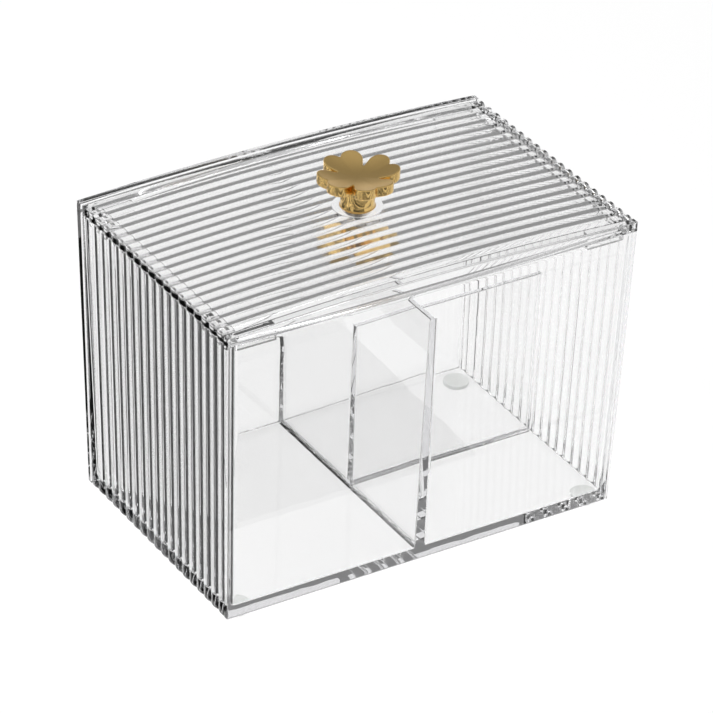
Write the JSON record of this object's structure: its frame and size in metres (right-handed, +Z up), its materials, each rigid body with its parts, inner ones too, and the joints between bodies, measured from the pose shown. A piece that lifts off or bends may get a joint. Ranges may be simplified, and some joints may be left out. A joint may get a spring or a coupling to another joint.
{
  "type": "acrylic storage box",
  "caption": "Clear lidded storage box with reeded end walls, inner dividers, a ribbed crowned lift-off lid and a gold clover-shaped knob.",
  "frame": {"origin": "on the ground, below the middle of the box", "axes": "+X along the box's length, towards the half with the cross divider; +Y from the plain front face to the back; +Z up through the knob"},
  "size_m": [0.186, 0.1204, 0.1518],
  "materials": {
    "clear_plastic": "clear polished moulding",
    "gold_plate": "polished gold plate",
    "steel": "bright",
    "clear_rubber": "clear soft pad"
  },
  "bodies": {
    "box": {"box_body": "clear_plastic", "foot_front_left": "clear_rubber", "foot_front_right": "clear_rubber", "foot_back_left": "clear_rubber", "foot_back_right": "clear_rubber"},
    "lid_assembly": {"lid": "clear_plastic", "knob": "gold_plate", "knob_screw": "steel", "screw_washer": "steel"}
  },
  "joints": [
    {"name": "lid_lift", "type": "slide", "parent": "box", "child": "lid_assembly", "axis": [0, 0, 1], "range_m": [0, 0.1]}
  ]
}
